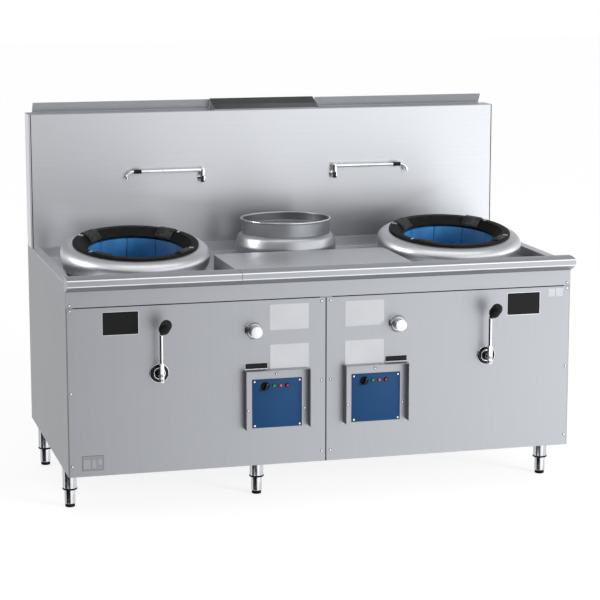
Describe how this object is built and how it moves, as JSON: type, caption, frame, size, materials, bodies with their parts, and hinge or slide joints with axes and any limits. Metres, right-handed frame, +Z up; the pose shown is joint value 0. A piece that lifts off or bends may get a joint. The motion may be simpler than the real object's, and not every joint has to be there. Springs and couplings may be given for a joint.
{
  "type": "wok range",
  "caption": "Free-standing gas wok range: cabinet on adjustable feet, tilted wok rings over lined chambers, rear pot ring, swing spouts, knee levers, flue",
  "frame": {"origin": "on the floor, midway between the sides and midway between the lever knobs and the rear sheet", "axes": "+X to the right in a front view, +Y from the cook to the wall, +Z up"},
  "size_m": [1.8, 1.0118, 1.344],
  "materials": {
    "brushed_sheet": "brushed",
    "polished_sheet": "satin",
    "plain_steel": "satin",
    "cast_black": "matte",
    "cast_dark": "rough",
    "lining": "matte",
    "gas_pipe": "semi-gloss",
    "copper_pipe": "satin",
    "chrome": "polished",
    "black_plastic": "satin",
    "red_plastic": "gloss",
    "blue_plate": "satin",
    "lamp_lens": "gloss",
    "foot_metal": "satin"
  },
  "bodies": {
    "cabinet": {"base_tray": "brushed_sheet", "centre_post": "brushed_sheet", "rear_panels": "brushed_sheet", "front_fascia": "brushed_sheet", "hob_pan_left": "brushed_sheet", "hob_pan_right": "brushed_sheet", "work_shelf": "brushed_sheet", "front_nosing_left": "brushed_sheet", "front_nosing_right": "brushed_sheet", "splash_front": "brushed_sheet", "splash_cheeks": "brushed_sheet", "splash_roof": "brushed_sheet", "flue_duct": "brushed_sheet", "flue_cowl": "brushed_sheet", "side_panel_left": "brushed_sheet", "side_panel_right": "brushed_sheet", "front_panel_left": "brushed_sheet", "front_panel_right": "brushed_sheet", "control_housing_left": "brushed_sheet", "control_housing_right": "brushed_sheet", "pot_dome": "polished_sheet", "wok_dome_left": "polished_sheet", "wok_dome_right": "polished_sheet", "leg_tubes": "plain_steel", "chamber_shell_left": "plain_steel", "chamber_shell_right": "plain_steel", "chamber_liner_left": "lining", "chamber_liner_right": "lining", "burners": "cast_dark", "gas_valves": "cast_dark", "gas_pipes": "gas_pipe", "water_pipes": "copper_pipe", "tap_valves": "chrome", "lever_escutcheons": "chrome", "spout_brackets": "chrome", "leg_collars": "black_plastic", "control_plates": "blue_plate", "indicator_lamps": "lamp_lens", "ignition_modules": "black_plastic"},
    "wok_ring_left": {"wok_ring_left": "cast_black"},
    "gas_lever_left": {"gas_lever_left": "chrome", "lever_knob_left": "black_plastic"},
    "tap_button_left": {"tap_button_left": "chrome"},
    "spout_left": {"spout_left": "chrome"},
    "selector_left": {"selector_left": "black_plastic"},
    "reset_button_left": {"reset_button_left": "red_plastic"},
    "wok_ring_right": {"wok_ring_right": "cast_black"},
    "gas_lever_right": {"gas_lever_right": "chrome", "lever_knob_right": "black_plastic"},
    "tap_button_right": {"tap_button_right": "chrome"},
    "spout_right": {"spout_right": "chrome"},
    "selector_right": {"selector_right": "black_plastic"},
    "reset_button_right": {"reset_button_right": "red_plastic"},
    "pot_ring": {"pot_ring": "brushed_sheet"},
    "foot_front_left": {"foot_front_left": "foot_metal"},
    "foot_rear_left": {"foot_rear_left": "foot_metal"},
    "foot_front_middle": {"foot_front_middle": "foot_metal"},
    "foot_rear_middle": {"foot_rear_middle": "foot_metal"},
    "foot_front_right": {"foot_front_right": "foot_metal"},
    "foot_rear_right": {"foot_rear_right": "foot_metal"}
  },
  "joints": [
    {"name": "wok_ring_left_lift", "type": "slide", "parent": "cabinet", "child": "wok_ring_left", "axis": [0, -0.1271, 0.9919], "range_m": [0, 0.15]},
    {"name": "gas_lever_left_turn", "type": "hinge", "parent": "cabinet", "child": "gas_lever_left", "pos_m": [-0.5855, -0.40796, 0.494], "axis": [0, 1, 0], "range_deg": [0, 90]},
    {"name": "tap_button_left_push", "type": "slide", "parent": "cabinet", "child": "tap_button_left", "axis": [0, 1, 0], "range_m": [0, 0.01], "stiffness_N_per_m": 500},
    {"name": "spout_left_swing", "type": "hinge", "parent": "cabinet", "child": "spout_left", "pos_m": [-0.257, 0.38204, 1.088], "axis": [0, 0, 1], "range_deg": [0, 145]},
    {"name": "selector_left_turn", "type": "hinge", "parent": "cabinet", "child": "selector_left", "pos_m": [-0.217, -0.40796, 0.428], "axis": [0, 1, 0], "range_deg": [0, 90]},
    {"name": "reset_button_left_push", "type": "slide", "parent": "cabinet", "child": "reset_button_left", "axis": [0, 1, 0], "range_m": [0, 0.003], "stiffness_N_per_m": 300},
    {"name": "wok_ring_right_lift", "type": "slide", "parent": "cabinet", "child": "wok_ring_right", "axis": [0, -0.1271, 0.9919], "range_m": [0, 0.15]},
    {"name": "gas_lever_right_turn", "type": "hinge", "parent": "cabinet", "child": "gas_lever_right", "pos_m": [0.5855, -0.40796, 0.494], "axis": [0, 1, 0], "range_deg": [0, 90]},
    {"name": "tap_button_right_push", "type": "slide", "parent": "cabinet", "child": "tap_button_right", "axis": [0, 1, 0], "range_m": [0, 0.01], "stiffness_N_per_m": 500},
    {"name": "spout_right_swing", "type": "hinge", "parent": "cabinet", "child": "spout_right", "pos_m": [0.257, 0.38204, 1.088], "axis": [0, 0, -1], "range_deg": [0, 145]},
    {"name": "selector_right_turn", "type": "hinge", "parent": "cabinet", "child": "selector_right", "pos_m": [0.138, -0.40796, 0.428], "axis": [0, 1, 0], "range_deg": [0, 90]},
    {"name": "reset_button_right_push", "type": "slide", "parent": "cabinet", "child": "reset_button_right", "axis": [0, 1, 0], "range_m": [0, 0.003], "stiffness_N_per_m": 300},
    {"name": "pot_ring_lift", "type": "slide", "parent": "cabinet", "child": "pot_ring", "axis": [0, 0, 1], "range_m": [0, 0.12]},
    {"name": "foot_front_left_adjust", "type": "slide", "parent": "cabinet", "child": "foot_front_left", "axis": [0, 0, -1], "range_m": [0, 0.025]},
    {"name": "foot_rear_left_adjust", "type": "slide", "parent": "cabinet", "child": "foot_rear_left", "axis": [0, 0, -1], "range_m": [0, 0.025]},
    {"name": "foot_front_middle_adjust", "type": "slide", "parent": "cabinet", "child": "foot_front_middle", "axis": [0, 0, -1], "range_m": [0, 0.025]},
    {"name": "foot_rear_middle_adjust", "type": "slide", "parent": "cabinet", "child": "foot_rear_middle", "axis": [0, 0, -1], "range_m": [0, 0.025]},
    {"name": "foot_front_right_adjust", "type": "slide", "parent": "cabinet", "child": "foot_front_right", "axis": [0, 0, -1], "range_m": [0, 0.025]},
    {"name": "foot_rear_right_adjust", "type": "slide", "parent": "cabinet", "child": "foot_rear_right", "axis": [0, 0, -1], "range_m": [0, 0.025]}
  ]
}
